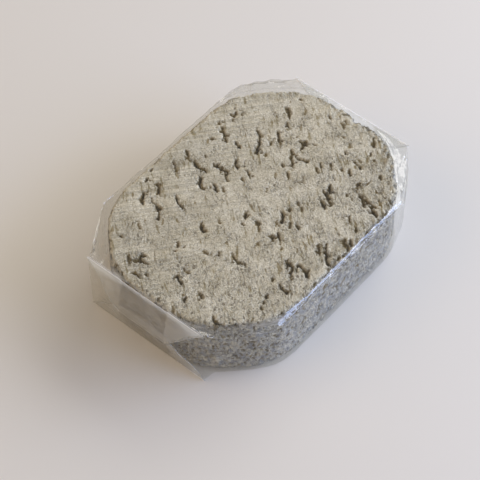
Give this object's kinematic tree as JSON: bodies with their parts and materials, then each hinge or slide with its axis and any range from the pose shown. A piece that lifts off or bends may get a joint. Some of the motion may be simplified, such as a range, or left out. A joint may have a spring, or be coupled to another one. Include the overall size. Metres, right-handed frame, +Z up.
{
  "type": "film-wrapped pumice block",
  "caption": "Flat oblong block of porous pumice-like stone with cut corners, overwrapped in clear film with parcel-folded ends that open.",
  "frame": {"origin": "on the table under the middle of the pack", "axes": "+X along the pack towards its right end, +Y across it towards the back, +Z up"},
  "size_m": [0.0816, 0.06, 0.0202],
  "materials": {
    "stone": "matte",
    "film": "clear gloss"
  },
  "bodies": {
    "pack": {"porous_block": "stone", "film_sleeve": "film", "left_front_tuck": "film", "left_back_tuck": "film", "right_front_tuck": "film", "right_back_tuck": "film"},
    "left_top": {"left_top_flap": "film"},
    "left_bottom": {"left_bottom_flap": "film"},
    "right_top": {"right_top_flap": "film"},
    "right_bottom": {"right_bottom_flap": "film"}
  },
  "joints": [
    {"name": "right_top_fold", "type": "hinge", "parent": "pack", "child": "right_top", "pos_m": [0.0408, 0, 0.0201], "axis": [0, -1, 0], "range_deg": [0, 120]},
    {"name": "right_bottom_fold", "type": "hinge", "parent": "pack", "child": "right_bottom", "pos_m": [0.04055, 0, 0.0001], "axis": [0, 1, 0], "range_deg": [0, 78]},
    {"name": "left_top_fold", "type": "hinge", "parent": "pack", "child": "left_top", "pos_m": [-0.0408, 0, 0.0201], "axis": [0, 1, 0], "range_deg": [0, 120]},
    {"name": "left_bottom_fold", "type": "hinge", "parent": "pack", "child": "left_bottom", "pos_m": [-0.04055, 0, 0.0001], "axis": [0, -1, 0], "range_deg": [0, 78]}
  ],
  "couplings": [
    {"joint": "right_bottom_fold", "follows": "right_top_fold", "ratio": 0.65},
    {"joint": "left_bottom_fold", "follows": "left_top_fold", "ratio": 0.65}
  ]
}
